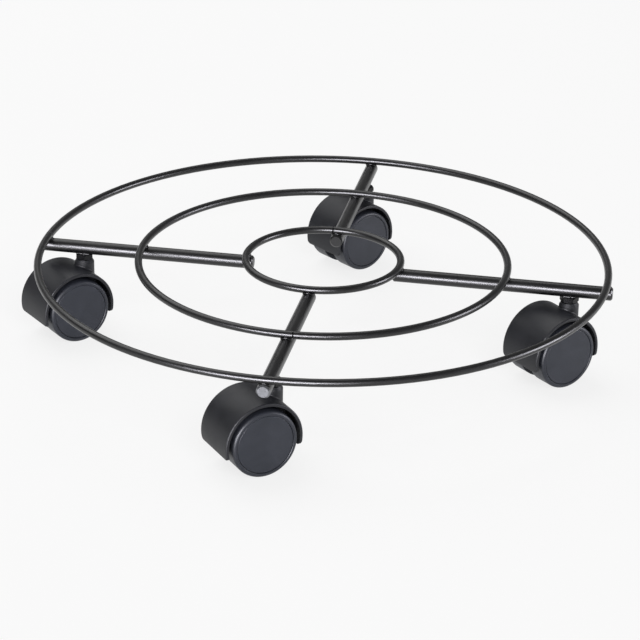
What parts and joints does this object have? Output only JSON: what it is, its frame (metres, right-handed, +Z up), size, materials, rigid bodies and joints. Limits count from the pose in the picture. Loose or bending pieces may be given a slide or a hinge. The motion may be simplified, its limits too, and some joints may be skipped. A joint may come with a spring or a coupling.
{
  "type": "plant caddy",
  "caption": "Round wire-ring plant caddy on rod spokes, carried by swivelling twin-wheel casters with curved hoods.",
  "frame": {"origin": "on the floor under the centre of the rings", "axes": "+Z up through the rings' centre, front spoke along -Y, right spoke along +X"},
  "size_m": [0.3637, 0.362, 0.0626],
  "materials": {
    "frame_coat": "semi-gloss black powder coat on steel wire and rod",
    "nut_coat": "glossy black coated steel",
    "plated_steel": "zinc-plated steel",
    "spring_steel": "oiled spring steel",
    "housing_plastic": "fine-grained black moulded nylon",
    "wheel_plastic": "satin black moulded nylon",
    "cap_plastic": "satin blue-black moulded nylon"
  },
  "bodies": {
    "frame": {"outer_ring": "frame_coat", "middle_ring": "frame_coat", "inner_ring": "frame_coat", "spoke_right": "frame_coat", "spoke_back": "frame_coat", "spoke_left": "frame_coat", "spoke_front": "frame_coat", "right_caster_nut": "nut_coat", "right_caster_stem": "plated_steel", "right_caster_clip_ring": "spring_steel", "back_caster_nut": "nut_coat", "back_caster_stem": "plated_steel", "back_caster_clip_ring": "spring_steel", "left_caster_nut": "nut_coat", "left_caster_stem": "plated_steel", "left_caster_clip_ring": "spring_steel", "front_caster_nut": "nut_coat", "front_caster_stem": "plated_steel", "front_caster_clip_ring": "spring_steel"},
    "right_caster": {"right_caster_housing": "housing_plastic", "right_caster_axle": "plated_steel", "right_caster_axle_retainers": "spring_steel"},
    "right_wheel_right": {"right_caster_wheel_right": "wheel_plastic", "right_caster_cap_right": "cap_plastic"},
    "right_wheel_left": {"right_caster_wheel_left": "wheel_plastic", "right_caster_cap_left": "cap_plastic"},
    "back_caster": {"back_caster_housing": "housing_plastic", "back_caster_axle": "plated_steel", "back_caster_axle_retainers": "spring_steel"},
    "back_wheel_right": {"back_caster_wheel_right": "wheel_plastic", "back_caster_cap_right": "cap_plastic"},
    "back_wheel_left": {"back_caster_wheel_left": "wheel_plastic", "back_caster_cap_left": "cap_plastic"},
    "left_caster": {"left_caster_housing": "housing_plastic", "left_caster_axle": "plated_steel", "left_caster_axle_retainers": "spring_steel"},
    "left_wheel_right": {"left_caster_wheel_right": "wheel_plastic", "left_caster_cap_right": "cap_plastic"},
    "left_wheel_left": {"left_caster_wheel_left": "wheel_plastic", "left_caster_cap_left": "cap_plastic"},
    "front_caster": {"front_caster_housing": "housing_plastic", "front_caster_axle": "plated_steel", "front_caster_axle_retainers": "spring_steel"},
    "front_wheel_right": {"front_caster_wheel_right": "wheel_plastic", "front_caster_cap_right": "cap_plastic"},
    "front_wheel_left": {"front_caster_wheel_left": "wheel_plastic", "front_caster_cap_left": "cap_plastic"}
  },
  "joints": [
    {"name": "right_swivel", "type": "hinge", "parent": "frame", "child": "right_caster", "pos_m": [0.1505, 0, 0.042], "axis": [0, 0, 1], "continuous": true},
    {"name": "right_wheel_right_spin", "type": "hinge", "parent": "right_caster", "child": "right_wheel_right", "pos_m": [0.1416, -0.00906, 0.02], "axis": [0.7133, -0.7009, 0], "continuous": true},
    {"name": "right_wheel_left_spin", "type": "hinge", "parent": "right_caster", "child": "right_wheel_left", "pos_m": [0.1416, -0.00906, 0.02], "axis": [0.7133, -0.7009, 0], "continuous": true},
    {"name": "back_swivel", "type": "hinge", "parent": "frame", "child": "back_caster", "pos_m": [0, 0.1505, 0.042], "axis": [0, 0, 1], "continuous": true},
    {"name": "back_wheel_right_spin", "type": "hinge", "parent": "back_caster", "child": "back_wheel_right", "pos_m": [-0.00791, 0.14056, 0.02], "axis": [0.7826, -0.6225, 0], "continuous": true},
    {"name": "back_wheel_left_spin", "type": "hinge", "parent": "back_caster", "child": "back_wheel_left", "pos_m": [-0.00791, 0.14056, 0.02], "axis": [0.7826, -0.6225, 0], "continuous": true},
    {"name": "left_swivel", "type": "hinge", "parent": "frame", "child": "left_caster", "pos_m": [-0.1505, 0, 0.042], "axis": [0, 0, 1], "continuous": true},
    {"name": "left_wheel_right_spin", "type": "hinge", "parent": "left_caster", "child": "left_wheel_right", "pos_m": [-0.15954, -0.00892, 0.02], "axis": [0.7022, -0.712, 0], "continuous": true},
    {"name": "left_wheel_left_spin", "type": "hinge", "parent": "left_caster", "child": "left_wheel_left", "pos_m": [-0.15954, -0.00892, 0.02], "axis": [0.7022, -0.712, 0], "continuous": true},
    {"name": "front_swivel", "type": "hinge", "parent": "frame", "child": "front_caster", "pos_m": [0, -0.1505, 0.042], "axis": [0, 0, 1], "continuous": true},
    {"name": "front_wheel_right_spin", "type": "hinge", "parent": "front_caster", "child": "front_wheel_right", "pos_m": [-0.00984, -0.15853, 0.02], "axis": [0.632, -0.7749, 0], "continuous": true},
    {"name": "front_wheel_left_spin", "type": "hinge", "parent": "front_caster", "child": "front_wheel_left", "pos_m": [-0.00984, -0.15853, 0.02], "axis": [0.632, -0.7749, 0], "continuous": true}
  ]
}
